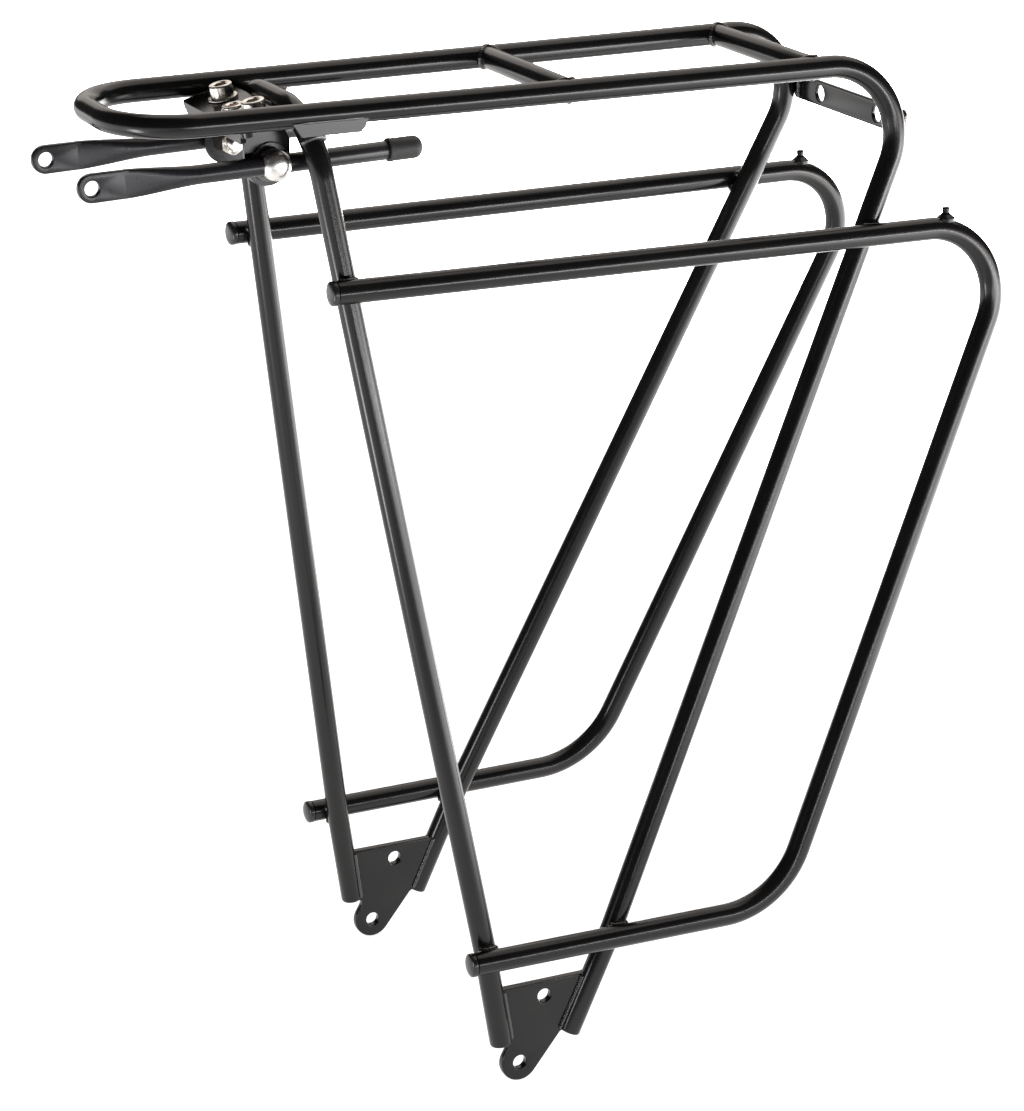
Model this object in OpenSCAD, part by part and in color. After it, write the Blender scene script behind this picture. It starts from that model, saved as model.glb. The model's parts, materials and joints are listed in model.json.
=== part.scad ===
// Bicycle rear rack: bent steel tube frame with a front hoop, two pannier rails,
// foot plates for the dropouts, a rear light plate and two adjustable front stays.
// X runs rearwards along the bicycle, Y to its right-hand side and Z up. The origin is
// midway between the lower foot holes, on their common axis.

/* [Tubing] */
// Outside diameter of the frame tubes
tube_d = 10; // [9:0.5:10]
// Wall thickness of the frame tubes
wall = 1; // [0.8:0.1:1.5]
// Centreline radius of the frame bends
bend_r = 31; // [30.5:0.5:33]
// Centreline radius of the lower rear bend of each pannier rail
low_bend_r = 42; // [38:1:44]

/* [Platform] */
// Height of the platform centreline above the foot axis
deck_h = 423.6; // [423:0.1:425]
// Half distance between the platform rails, level with the foot axis
deck_half_w = 41.4; // [41.2:0.1:42.5]
// Outward slope of each platform rail towards the rear
deck_flare = 0.0207; // [0.015:0.001:0.022]
// Distance from the foot axis forwards to the platform's front tube
deck_front = 150; // [148:1:156]
// Distance from the foot axis back to the corner of the rear bends
deck_rear = 217; // [216:0.5:220]
// Position of the middle crossbar behind the foot axis
mid_bar_x = 44.5; // [30:0.5:60]
// Position of the rear crossbar behind the foot axis
rear_bar_x = 160.6; // [150:1:165]

/* [Legs] */
// Half distance between the front legs at the height of the foot axis
front_foot_half_w = 90.2; // [89.5:0.1:91]
// Half distance between the rear legs at the height of the foot axis
rear_foot_half_w = 90.3; // [90:0.1:91]
// Position of the front legs' line at the height of the foot axis
front_foot_x = -7.5; // [-9:0.5:-6]
// Position of the rear legs' line at the height of the foot axis
rear_foot_x = 19.1; // [18:0.1:20]
// Half distance between the front legs where they meet the platform
front_top_half_w = 39.4; // [38.5:0.1:39.6]
// Position of the front legs' line at the height of the platform
front_top_x = -72.1; // [-74:0.5:-70]
// Height at which the front legs end
front_leg_end_h = 11; // [9:0.5:12]
// Height at which the rear legs end
rear_leg_end_h = 10; // [8:0.5:11]
// Height at which the legs turn straight down
toe_h = 56; // [54:0.5:58]
// Half distance between the legs' centrelines at their lower ends
toe_half_w = 84.8; // [84.6:0.1:85]

/* [Pannier rails] */
// Height of the upper pannier rail at its front end
rail_top_h = 352.8; // [351:0.1:354]
// How much lower the upper rail is at its rear corner
rail_top_drop = 1.6; // [1:0.1:2]
// Height of the lower pannier rail
rail_low_h = 56.5; // [55:0.5:58]
// Position of the upper rail's front end
rail_top_front = -69.5; // [-72:0.5:-68]
// Position of the lower rail's front end
rail_low_front = -25.5; // [-27:0.5:-24]
// Position of the upper rear corner, before its bend
rail_top_corner = 257.5; // [252:0.5:260]
// Position of the lower rear corner, before its bend
rail_low_corner = 123.5; // [120:0.5:126]
// Sideways distance from each leg's centreline to the rail's centreline
rail_offset = 10.3; // [10.3:0.1:11]
// Position of the pannier stop pegs
peg_x = 218; // [212:1:222]

/* [Foot plates] */
// Half distance between the foot plates' outer faces
foot_half_w = 85; // [84.5:0.1:85.5]
// Thickness of the foot plates
foot_t = 4; // [3:0.5:5]
// Diameter of the foot holes
foot_hole_d = 6.4; // [5.5:0.1:6.8]
// Position of the upper foot hole, along X and up
upper_hole_at = [12, 30];
// Radius of the rounded lower end
foot_lobe_r = 9; // [8:0.5:9.5]
// Height of the foot plates' top edge
foot_top_h = 37; // [36:0.5:39]

/* [Light plate] */
// Length of the light plate
light_w = 97; // [96:1:102]
// Height of the light plate
light_h = 11.5; // [11:0.5:13]
// Thickness of the light plate
light_t = 2; // [1.5:0.5:3]
// Height of the light plate's centre
light_z = 395.9; // [395:0.1:398]
// Distance between the two lamp holes
lamp_spacing = 50; // [50:1:80]
// Diameter of the lamp holes
lamp_hole_d = 7.4; // [5.2:0.1:7.6]

/* [Front mounting] */
// Position of the bracket screws along X, at the mount plate's top face
mount_x = -87.5; // [-88:0.1:-87]
// Height of the mount plate's top face at the bracket screws
mount_z = 420.9; // [420.5:0.1:421.3]
// Angle at which the mount plate rises towards the rear
mount_tilt = 12; // [11:0.5:13]
// Thickness of the mount plate
mount_t = 3; // [2.5:0.1:3]
// Half width of the mount plate, which reaches under the platform rails
mount_half_w = 36.5; // [36:0.1:37]
// Distance from the bracket screws forwards to the mount plate's front edge
mount_reach = 13; // [12:0.5:14]
// Half distance between the bracket screws
screw_half_w = 18.6; // [18:0.1:18.7]
// Position of the stay pivots along X
pivot_x = -84; // [-84.5:0.1:-83.5]
// Height of the stay pivots
pivot_z = 402.2; // [401.5:0.1:402.5]
// Thickness of the brackets
bracket_t = 2; // [1.8:0.1:2]
// Half distance between the brackets' outer faces
bracket_half_w = 24; // [23.9:0.1:24.1]
// Position of the front edge of each bracket's hanging arm
arm_front = -95; // [-96:0.5:-94]
// Width of each bracket's hanging arm
arm_w = 20; // [19:0.5:20]

/* [Stays] */
// Diameter of the stay rods
stay_d = 8; // [7.5:0.1:8]
// Half distance between the stay rods
stay_half_w = 29.6; // [29.5:0.1:29.8]
// Angle at which the stays rise towards the rear
stay_tilt = 1.4; // [0:0.1:2]
// Distance from the pivot forwards to the eye's centre
eye_reach = 79; // [76:1:84]
// Diameter of the eye's hole
eye_hole_d = 6.4; // [5.2:0.1:6.8]
// Height of the stays' flattened ends
flat_h = 12; // [11:0.5:13]
// Thickness of the stays' flattened ends
flat_t = 3; // [2.5:0.5:4]
// Distance from the pivot forwards to the end of the flattened length
flat_reach = 65; // [62:1:68]
// Distance from the pivot forwards to where the round rod begins to flatten
round_reach = 33.5; // [32:0.5:44]
// Distance from the pivot back to the front of the end cap
cap_reach = 50; // [48:1:52]
// Length of the end cap
cap_l = 15.5; // [13:0.5:16]
// Outside diameter of the end cap
cap_d = 10; // [9.5:0.1:10.2]

/* [Hidden] */

$fn = 64;
left = -1;
right = 1;
tube_r = tube_d / 2;
bore_r = tube_r - wall;
// Clearance that a weld fills between two pieces
weld_gap = 0.05;
// Radial clearance of a turning or sliding fit
run_gap = 0.05;
// Radius of an M6 thread and of an M5 thread
m6_r = 3;
m5_r = 2.5;

// Centreline points: side is -1 on the left and 1 on the right
function deck_y(x) = deck_half_w + deck_flare * x;
function deck_point(x, side) = [x, side * deck_y(x), deck_h];
function between(low, high, z) = low + (high - low) * z / deck_h;
function front_leg(z, side) = [
    between(front_foot_x, front_top_x, z),
    side * between(front_foot_half_w, front_top_half_w, z),
    z];
function rear_leg(z, side) = [
    between(rear_foot_x, deck_rear, z),
    side * between(rear_foot_half_w, deck_y(deck_rear), z),
    z];

// The pannier rails lie near a plane just outside the legs. Each end of a straight length
// is drawn in from that plane by one of these distances
rail_top_in = 0.15;
rail_corner_in = 1.1;
rail_front_in = 0.08;
low_contact = front_leg(rail_low_h, right);
top_contact = front_leg(rail_top_h, right);
far_contact = rear_leg(rail_top_h, right);
rail_flare = (far_contact[1] - top_contact[1]) / (far_contact[0] - top_contact[0]);
rail_lean = (top_contact[1] - low_contact[1] - rail_flare * (top_contact[0] - low_contact[0]))
    / (rail_top_h - rail_low_h);
function rail_y(x, z) = low_contact[1] + rail_offset
    + rail_flare * (x - low_contact[0]) + rail_lean * (z - rail_low_h);
function rail_point(x, z, side, inwards) = [x, side * (rail_y(x, z) - inwards), z];

// Frame of reference whose axes are x, y and z and whose origin is o
function axes(x, y, z, o) = [
    [x[0], y[0], z[0], o[0]],
    [x[1], y[1], z[1], o[1]],
    [x[2], y[2], z[2], o[2]],
    [0, 0, 0, 1]];
function unit(v) = v / norm(v);
function turn(a, b, c) = acos(unit(b - a) * unit(c - b));
function setback(points, radii, i) = i == 0 || i == len(points) - 1
    ? 0
    : radii[i - 1] * tan(turn(points[i - 1], points[i], points[i + 1]) / 2);

module bar(a, b, r) {
    d = unit(b - a);
    side = unit(cross(abs(d[2]) < 0.9 ? [0, 0, 1] : [1, 0, 0], d));
    multmatrix(axes(side, cross(d, side), d, a)) cylinder(r = r, h = norm(b - a));
}

module elbow(a, b, c, bend, r) {
    into = unit(b - a);
    normal = unit(cross(into, c - b));
    inward = cross(normal, into);
    angle = turn(a, b, c);
    centre = b - into * bend * tan(angle / 2) + inward * bend;
    multmatrix(axes(-inward, into, normal, centre))
        rotate_extrude(angle = angle) translate([bend, 0]) circle(r);
}

// How far a straight length reaches into the next bend, and how much wider the bend is,
// so that the two always join as one solid
lap = 0.5;
bend_swell = 0.02;

// Solid of radius r along points, with a bend of the given radius at each inner point
module bent_bar(points, radii, r) {
    last = len(points) - 1;
    for (i = [0 : last - 1]) {
        d = unit(points[i + 1] - points[i]);
        bar(points[i] + d * (setback(points, radii, i) - (i > 0 ? lap : 0)),
            points[i + 1] - d * (setback(points, radii, i + 1) - (i + 1 < last ? lap : 0)), r);
    }
    for (i = [1 : last - 1])
        elbow(points[i - 1], points[i], points[i + 1], radii[i - 1], r + bend_swell);
}

function trimmed(points, cut) = [
    for (i = [0 : len(points) - 1])
        i == 0 ? points[0] + unit(points[1] - points[0]) * cut
        : i == len(points) - 1 ? points[i] + unit(points[i - 1] - points[i]) * cut
        : points[i]];

// Tube along points; a positive cut closes its ends, a negative one opens them
module bent_tube(points, radii, cut) {
    difference() {
        bent_bar(points, radii, tube_r);
        bent_bar(trimmed(points, cut), radii, bore_r);
    }
}

// Lower ends of the legs, a little inboard of the legs' own slope
toe_bend_r = 60;
function toe(leg, side) = [leg[0], side * toe_half_w, leg[2]];
function front_toe(h, side) = toe(front_leg(h, side), side);
function rear_toe(h, side) = toe(rear_leg(h, side), side);

main_points = [
    rear_toe(rear_leg_end_h, left),
    rear_leg(toe_h, left),
    deck_point(deck_rear, left),
    deck_point(-deck_front, left),
    deck_point(-deck_front, right),
    deck_point(deck_rear, right),
    rear_leg(toe_h, right),
    rear_toe(rear_leg_end_h, right)];
hoop_points = [
    front_toe(front_leg_end_h, left),
    front_leg(toe_h, left),
    front_leg(deck_h, left),
    front_leg(deck_h, right),
    front_leg(toe_h, right),
    front_toe(front_leg_end_h, right)];
function loop_points(side) = [
    rail_point(rail_top_front, rail_top_h, side, rail_top_in),
    rail_point(rail_top_corner, rail_top_h - rail_top_drop, side, rail_top_in),
    rail_point(rail_low_corner, rail_low_h, side, rail_corner_in),
    rail_point(rail_low_front, rail_low_h, side, rail_front_in)];
function on_top_rail(x, side) = loop_points(side)[0]
    + (loop_points(side)[1] - loop_points(side)[0])
    * (x - rail_top_front) / (rail_top_corner - rail_top_front);

module main_tube() {
    color("#1d1d1f") bent_tube(main_points,
        [toe_bend_r, bend_r, bend_r, bend_r, bend_r, toe_bend_r], 2);
}

module front_hoop() {
    color("#1d1d1f") bent_tube(hoop_points,
        [toe_bend_r, bend_r, bend_r, toe_bend_r], 2);
}

// Space taken up by a platform rail, with the gap for its weld
module deck_rail_space(side) {
    bar(deck_point(-deck_front, side), deck_point(deck_rear, side), tube_r + weld_gap);
}

module crossbar(x) {
    reach = deck_y(x);
    color("#1d1d1f") difference() {
        translate([x, reach, deck_h]) rotate([90, 0, 0]) cylinder(r = tube_r, h = 2 * reach);
        translate([x, reach + 1, deck_h]) rotate([90, 0, 0]) cylinder(r = bore_r, h = 2 * reach + 2);
        deck_rail_space(left);
        deck_rail_space(right);
    }
}

module pannier_rail(side) {
    color("#1d1d1f") bent_tube(loop_points(side), [bend_r, low_bend_r], -1);
}

// Domed plug in the front end of a rail that runs from a towards b
module end_plug(a, b) {
    stem_l = 9;
    flange_l = 2;
    dome_l = 1.5;
    d = unit(b - a);
    level = unit(cross([0, 0, 1], d));
    multmatrix(axes(level, cross(d, level), d, a)) rotate_extrude()
        polygon([
            [0, stem_l], [bore_r - weld_gap, stem_l], [bore_r - weld_gap, 0],
            [tube_r + 0.2, 0], [tube_r + 0.2, -flange_l],
            for (a = [15 : 15 : 75]) [(tube_r + 0.2) * cos(a), -flange_l - dome_l * sin(a)],
            [0, -flange_l - dome_l]]);
}

module rail_end_plugs() {
    color("#2a2a2c") for (side = [left, right]) {
        end_plug(loop_points(side)[0], loop_points(side)[1]);
        end_plug(loop_points(side)[3], loop_points(side)[2]);
    }
}

// Stop peg on the upper pannier rail: conical welded foot, waist and head
module pannier_peg(side) {
    foot_r = 3.6;
    waist_r = 1.5;
    head_r = 1.7;
    top = 9.2;
    edge = 0.4;
    seat_l = 15;
    color("#1d1d1f") difference() {
        translate(on_top_rail(peg_x, side)) rotate_extrude() polygon([
            [0, 3], [foot_r, 3], [foot_r, top - 4.6], [waist_r, top - 2.6], [waist_r, top - 2],
            [head_r, top - 1.8], [head_r, top - edge], [head_r - edge, top], [0, top]]);
        bar(on_top_rail(peg_x - seat_l, side), on_top_rail(peg_x + seat_l, side),
            tube_r + weld_gap);
    }
}

// Foot plate's body above the rounded end, drawn with its sides touching that end
module foot_body() {
    corner_h = 12;
    reach = foot_lobe_r - 0.3;
    polygon([
        [reach * cos(148), reach * sin(148)],
        [-4.6, 9.8],
        [front_leg(corner_h, right)[0], corner_h],
        [front_leg(foot_top_h, right)[0], foot_top_h],
        [rear_leg(foot_top_h, right)[0], foot_top_h],
        [rear_leg(corner_h, right)[0], corner_h],
        [20, 11],
        [reach * cos(-38), reach * sin(-38)]]);
}

module foot_plate(side) {
    end_gap = 0.2;
    color("#1d1d1f") difference() {
        translate([0, side * foot_half_w + (side > 0 ? 0 : foot_t), 0]) rotate([90, 0, 0])
            union() {
                cylinder(r = foot_lobe_r, h = foot_t);
                linear_extrude(foot_t) foot_body();
            }
        bar(front_toe(front_leg_end_h - end_gap, side), front_leg(toe_h, side),
            tube_r + weld_gap);
        bar(rear_toe(rear_leg_end_h - end_gap, side), rear_leg(toe_h, side),
            tube_r + weld_gap);
        for (at = [[0, 0], upper_hole_at])
            translate([at[0], side * foot_half_w + 10, at[1]]) rotate([90, 0, 0])
                cylinder(d = foot_hole_d, h = 20);
    }
}

// Short bar that ties the hoop's shoulder to the platform rail above it, towards the rail's outer side
module rail_gusset(side) {
    gusset_l = 33.6;
    gusset_w = 4;
    front = -81.5;
    outwards = 1.4;
    bottom = deck_h - 7.9;
    top = deck_h - 2.2;
    nose = 3.7;
    color("#1d1d1f") difference() {
        translate([front, side * (deck_half_w + outwards) + gusset_w / 2, 0]) rotate([90, 0, 0])
            linear_extrude(gusset_w)
                polygon([[nose, bottom], [gusset_l - nose, bottom], [gusset_l, top], [0, top]]);
        deck_rail_space(side);
        elbow(front_leg(toe_h, side), front_leg(deck_h, side), front_leg(deck_h, -side),
            bend_r, tube_r + weld_gap);
    }
}

// Rearmost surface of the main tube, where the light plate is welded
light_turn = turn(deck_point(0, right), deck_point(deck_rear, right), rear_leg(0, right));
light_x = deck_rear - bend_r * tan(light_turn / 2) + bend_r + tube_r + weld_gap;

module light_plate() {
    corner = 2.5;
    inner_w = light_w / 2 - corner;
    inner_h = light_h / 2 - corner;
    color("#1d1d1f") translate([light_x, 0, light_z]) rotate([90, 0, 90])
        linear_extrude(light_t) difference() {
            union() {
                square([light_w, light_h - 2 * corner], center = true);
                square([light_w - 2 * corner, light_h], center = true);
                for (a = [-1, 1], b = [-1, 1]) translate([a * inner_w, b * inner_h]) circle(corner);
            }
            for (a = [-1, 1]) translate([a * lamp_spacing / 2, 0]) circle(d = lamp_hole_d);
        }
}

// Places its children on the tilted mount plate: X along it, Z square to its top face
module at_mount() {
    translate([mount_x, 0, mount_z]) rotate([0, -mount_tilt, 0]) children();
}

centre_x = -2.8;

module mount_outline() {
    corner = 4;
    back = 10.35;
    difference() {
        union() {
            translate([corner - mount_reach, -mount_half_w])
                square([mount_reach + back - corner, 2 * mount_half_w]);
            translate([-mount_reach, corner - mount_half_w])
                square([corner + 1, 2 * (mount_half_w - corner)]);
            for (side = [left, right])
                translate([corner - mount_reach, side * (mount_half_w - corner)]) circle(corner);
        }
        for (side = [left, right]) translate([0, side * screw_half_w]) circle(m6_r + 0.3);
        translate([centre_x, 0]) circle(m5_r + 0.3);
    }
}

// Plate between the platform rails, with a lip folded down along its front edge
module mount_plate() {
    lip_half_w = 32;
    lip_slope = 1.6;
    lip_h = 3.2;
    lip_t = 2.5;
    color("#1d1d1f") difference() {
        at_mount() {
            translate([0, 0, -mount_t]) linear_extrude(mount_t) mount_outline();
            translate([-mount_reach, 0, -mount_t]) rotate([90, 0, 90]) linear_extrude(lip_t)
                polygon([
                    [-lip_half_w, 0.5], [-lip_half_w, 0], [lip_slope - lip_half_w, -lip_h],
                    [lip_half_w - lip_slope, -lip_h], [lip_half_w, 0], [lip_half_w, 0.5]]);
        }
        deck_rail_space(left);
        deck_rail_space(right);
    }
}

washer_t = 1.4;

// Socket head screw, axis along -Z, with the underside of its head at the origin
module socket_screw(thread_r, length, head_r, head_h, key) {
    difference() {
        union() {
            translate([0, 0, -length]) cylinder(r = thread_r, h = length + 0.1);
            rotate_extrude() polygon([
                [0, 0], [head_r, 0], [head_r, head_h - 0.6], [head_r - 0.6, head_h], [0, head_h]]);
        }
        translate([0, 0, head_h * 0.45]) cylinder(r = key / sqrt(3), h = head_h, $fn = 6);
    }
}

module bracket_screws() {
    grip = washer_t + mount_t + bracket_t;
    color("silver") for (side = [left, right])
        at_mount() translate([0, side * screw_half_w, washer_t])
            socket_screw(m6_r, grip + 3, 5, 5.4, 5);
}

module washer_ring(outer_r, inner_r, t) {
    difference() {
        cylinder(r = outer_r, h = t);
        translate([0, 0, -1]) cylinder(r = inner_r, h = t + 2);
    }
}

module bracket_washers() {
    color("silver") for (side = [left, right])
        at_mount() translate([0, side * screw_half_w, 0])
            washer_ring(6.5, m6_r + 0.3, washer_t);
}

centre_washer_t = 0.8;

module centre_washer() {
    color("silver") at_mount() translate([centre_x, 0, 0])
        washer_ring(5.2, m5_r + 0.2, centre_washer_t);
}

module centre_screw() {
    color("silver") at_mount() translate([centre_x, 0, centre_washer_t])
        socket_screw(m5_r, mount_t + 6, 4.7, 1.4, 3.6);
}

arm_r = arm_w / 2;
// Height of the mount plate's underside at x
function under(x) = mount_z - mount_t / cos(mount_tilt) + (x - mount_x) * tan(mount_tilt);

// Outline of a bracket's hanging arm, seen along Y; its rear corner clears the hoop
module arm_outline() {
    rear_end = -78.4;
    shoulder_h = 5;
    shoulder_w = 2.6;
    rear = arm_front + arm_w;
    top = under(rear_end) - bracket_t / 2;
    polygon([
        [arm_front, pivot_z], [arm_front, under(arm_front) - bracket_t / 2], [rear_end, top],
        [rear - shoulder_w, top - shoulder_h / 2], [rear, top - shoulder_h - shoulder_w],
        [rear, pivot_z]]);
    translate([arm_front + arm_r, pivot_z]) circle(arm_r);
}

// Folded bracket: a flange under the mount plate and an arm down to the stay pivot
module bracket(side) {
    flange_inner = 10;
    flange_front = -7.7;
    flange_rear = 9;
    flange_gap = 0.03;
    color("#1d1d1f") difference() {
        union() {
            at_mount() translate([flange_front, side > 0 ? flange_inner : -bracket_half_w,
                -mount_t - flange_gap - bracket_t])
                cube([flange_rear - flange_front, bracket_half_w - flange_inner, bracket_t]);
            translate([0, side > 0 ? bracket_half_w : bracket_t - bracket_half_w, 0])
                rotate([90, 0, 0]) linear_extrude(bracket_t) arm_outline();
        }
        at_mount() translate([0, side * screw_half_w, -mount_t - 5])
            cylinder(r = m6_r + run_gap, h = 10);
        translate([pivot_x, side * bracket_half_w + 10, pivot_z]) rotate([90, 0, 0])
            cylinder(r = m6_r + run_gap, h = 20);
    }
}

// Places its children on a stay pivot with their Z axis pointing outwards from the bracket
module at_pivot(side) {
    translate([pivot_x, side * bracket_half_w, pivot_z]) rotate([0, -stay_tilt, 0])
        rotate([-90 * side, 0, 0]) children();
}

pivot_washer_t = 1;
eye_out = stay_half_w - bracket_half_w;

// Cross-drilled clamping bolt: the stay rod passes through its head
module eyebolt(side) {
    head_r = 6.5;
    head_l = eye_out + 7;
    dome = 2.5;
    color("silver") at_pivot(side) difference() {
        rotate_extrude() polygon([
            [0, -12], [m6_r, -12], [m6_r, pivot_washer_t], [head_r, pivot_washer_t],
            [head_r, head_l - dome],
            for (a = [10 : 10 : 80])
                [head_r - 1.5 * dome * (1 - cos(a)), head_l - dome + dome * sin(a)],
            [head_r - 1.5 * dome, head_l], [0, head_l]]);
        translate([0, 0, eye_out]) rotate([0, 90, 0])
            cylinder(r = stay_d / 2 + run_gap, h = 30, center = true);
    }
}

module pivot_washer(side) {
    color("#18181a") at_pivot(side) washer_ring(8.5, m6_r + run_gap, pivot_washer_t);
}

module pivot_nut(side) {
    nut_h = 5;
    color("silver") at_pivot(side) translate([0, 0, -bracket_t - nut_h]) difference() {
        cylinder(r = 10 / sqrt(3), h = nut_h, $fn = 6);
        translate([0, 0, -1]) cylinder(r = m6_r + 0.02, h = nut_h + 2);
    }
}

// Places its children on a stay's centreline at the pivot, with X along the rod
module at_stay(side) {
    translate([pivot_x, side * stay_half_w, pivot_z]) rotate([0, -stay_tilt, 0]) children();
}

cap_bottom = 3.5;

// Stay rod along X with a flattened, drilled front end
module stay(side) {
    r = stay_d / 2;
    rear = cap_reach + cap_l - cap_bottom;
    color("#1d1d1f") at_stay(side) difference() {
        union() {
            translate([-round_reach, 0, 0]) rotate([0, 90, 0])
                cylinder(r = r, h = rear + round_reach);
            hull() {
                translate([-round_reach, 0, 0]) rotate([0, 90, 0])
                    cylinder(r = r, h = 0.01, $fn = 32);
                translate([-flat_reach, -flat_t / 2, -flat_h / 2]) cube([0.01, flat_t, flat_h]);
            }
            translate([-eye_reach, -flat_t / 2, -flat_h / 2])
                cube([eye_reach - flat_reach, flat_t, flat_h]);
            translate([-eye_reach, flat_t / 2, 0]) rotate([90, 0, 0])
                cylinder(d = flat_h, h = flat_t);
        }
        translate([-eye_reach, 10, 0]) rotate([90, 0, 0]) cylinder(d = eye_hole_d, h = 20);
    }
}

// Soft cap over the rear end of a stay rod, with a rounded end
module stay_cap(side) {
    edge = 3.8;
    cap_r = cap_d / 2;
    rod_r = stay_d / 2;
    color("#2a2a2c") at_stay(side) translate([cap_reach, 0, 0]) rotate([0, 90, 0])
        rotate_extrude() polygon([
            [rod_r, 0], [cap_r, 0], [cap_r, cap_l - edge],
            for (a = [15 : 15 : 75]) [cap_r - edge + edge * cos(a), cap_l - edge + edge * sin(a)],
            [cap_r - edge, cap_l], [0, cap_l], [0, cap_l - cap_bottom],
            [rod_r, cap_l - cap_bottom]]);
}

module left_pannier_rail() { pannier_rail(left); }
module right_pannier_rail() { pannier_rail(right); }
module left_pannier_peg() { pannier_peg(left); }
module right_pannier_peg() { pannier_peg(right); }
module left_foot_plate() { foot_plate(left); }
module right_foot_plate() { foot_plate(right); }
module left_rail_gusset() { rail_gusset(left); }
module right_rail_gusset() { rail_gusset(right); }
module middle_crossbar() { crossbar(mid_bar_x); }
module rear_crossbar() { crossbar(rear_bar_x); }
module left_bracket() { bracket(left); }
module right_bracket() { bracket(right); }
module left_eyebolt() { eyebolt(left); }
module right_eyebolt() { eyebolt(right); }
module left_pivot_washer() { pivot_washer(left); }
module right_pivot_washer() { pivot_washer(right); }
module left_pivot_nut() { pivot_nut(left); }
module right_pivot_nut() { pivot_nut(right); }
module left_stay() { stay(left); }
module right_stay() { stay(right); }
module left_stay_cap() { stay_cap(left); }
module right_stay_cap() { stay_cap(right); }

main_tube();
front_hoop();
middle_crossbar();
rear_crossbar();
left_pannier_rail();
right_pannier_rail();
rail_end_plugs();
left_pannier_peg();
right_pannier_peg();
left_foot_plate();
right_foot_plate();
left_rail_gusset();
right_rail_gusset();
light_plate();
mount_plate();
bracket_screws();
bracket_washers();
centre_screw();
centre_washer();
left_bracket();
right_bracket();
left_eyebolt();
right_eyebolt();
left_pivot_washer();
right_pivot_washer();
left_pivot_nut();
right_pivot_nut();
left_stay();
right_stay();
left_stay_cap();
right_stay_cap();
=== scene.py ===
"""Looks of a tubular steel bicycle rear rack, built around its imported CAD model.

Lengths are in millimetres and become metres where a mesh is made, but the floor, the lights and the
camera are in metres. X runs rearwards, Y to the bicycle's right and Z up, with the origin on the axis of
the lower foot holes.
"""

import json
import math
import random

import bmesh
import bpy
from mathutils import Matrix, Vector, noise


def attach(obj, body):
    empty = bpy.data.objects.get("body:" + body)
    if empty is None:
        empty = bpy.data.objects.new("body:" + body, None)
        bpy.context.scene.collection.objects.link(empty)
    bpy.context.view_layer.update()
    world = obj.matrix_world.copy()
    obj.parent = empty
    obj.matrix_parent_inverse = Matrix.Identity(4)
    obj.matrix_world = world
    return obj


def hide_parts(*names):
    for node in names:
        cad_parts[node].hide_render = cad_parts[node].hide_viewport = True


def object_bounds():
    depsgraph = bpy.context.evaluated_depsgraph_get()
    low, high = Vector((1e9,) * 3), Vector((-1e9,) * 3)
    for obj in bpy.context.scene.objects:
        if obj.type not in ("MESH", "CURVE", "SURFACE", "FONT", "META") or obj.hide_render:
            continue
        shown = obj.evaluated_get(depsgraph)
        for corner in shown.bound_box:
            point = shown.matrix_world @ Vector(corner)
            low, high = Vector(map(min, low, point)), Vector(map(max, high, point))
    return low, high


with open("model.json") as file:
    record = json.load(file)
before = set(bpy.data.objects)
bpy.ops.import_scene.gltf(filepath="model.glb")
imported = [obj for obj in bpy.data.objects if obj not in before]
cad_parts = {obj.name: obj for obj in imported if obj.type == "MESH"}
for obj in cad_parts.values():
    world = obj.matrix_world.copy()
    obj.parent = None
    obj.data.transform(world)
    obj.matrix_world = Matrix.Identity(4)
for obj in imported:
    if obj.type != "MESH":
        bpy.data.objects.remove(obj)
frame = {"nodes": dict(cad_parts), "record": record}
cad_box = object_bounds()

MM = 0.001
LEFT, RIGHT = -1, 1
SIDE_NAME = {LEFT: "left", RIGHT: "right"}

# ---------------------------------------------------------------- design sizes, as in the CAD part

TUBE_R = 5
BEND_R = 31
LOW_BEND_R = 42
DECK_H = 423.6
DECK_HALF_W = 41.4
DECK_FLARE = 0.0207
DECK_FRONT = -150
DECK_REAR = 217
CROSSBARS = {"middle_crossbar": 44.5, "rear_crossbar": 160.6}
FRONT_FOOT_X, FRONT_TOP_X = -7.5, -72.1
FRONT_FOOT_Y, FRONT_TOP_Y = 90.2, 39.4
REAR_FOOT_X, REAR_FOOT_Y = 19.1, 90.3
FRONT_LEG_END, REAR_LEG_END = 11, 10
TOE_H, TOE_Y, TOE_BEND_R = 56, 84.8, 60
RAIL_TOP, RAIL_TOP_DROP, RAIL_LOW = 352.8, 1.6, 56.5
RAIL_TOP_FRONT, RAIL_LOW_FRONT = -69.5, -25.5
RAIL_TOP_CORNER, RAIL_LOW_CORNER = 257.5, 123.5
RAIL_OFFSET = 10.3
RAIL_TOP_IN, RAIL_CORNER_IN, RAIL_FRONT_IN = 0.15, 1.1, 0.08
PEG_X = 218
FOOT_Y, FOOT_T, FOOT_HOLE_R, FOOT_TOP = 85, 4, 3.2, 37
FOOT_LOBE_R = 9
UPPER_HOLE = (12, 30)
LIGHT_W, LIGHT_H, LIGHT_T, LIGHT_Z = 97, 11.5, 2, 395.9
LAMP_SPACING, LAMP_HOLE_R = 50, 3.7
MOUNT_X, MOUNT_Z, MOUNT_TILT, MOUNT_T = -87.5, 420.9, 12, 3
SCREW_Y, CENTRE_X = 18.6, -2.8
WASHER_T, CENTRE_WASHER_T = 1.4, 0.8
PIVOT_X, PIVOT_Z = -84, 402.2
BRACKET_T, BRACKET_Y = 2, 24
STAY_R, STAY_Y, STAY_TILT = 4, 29.6, 1.4
EYE_REACH, EYE_HOLE_R = 79, 3.2
FLAT_H, FLAT_T, FLAT_REACH, ROUND_REACH = 12, 3, 65, 33.5
CAP_REACH, CAP_L, CAP_R, CAP_EDGE = 50, 15.5, 5, 3.8
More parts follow.
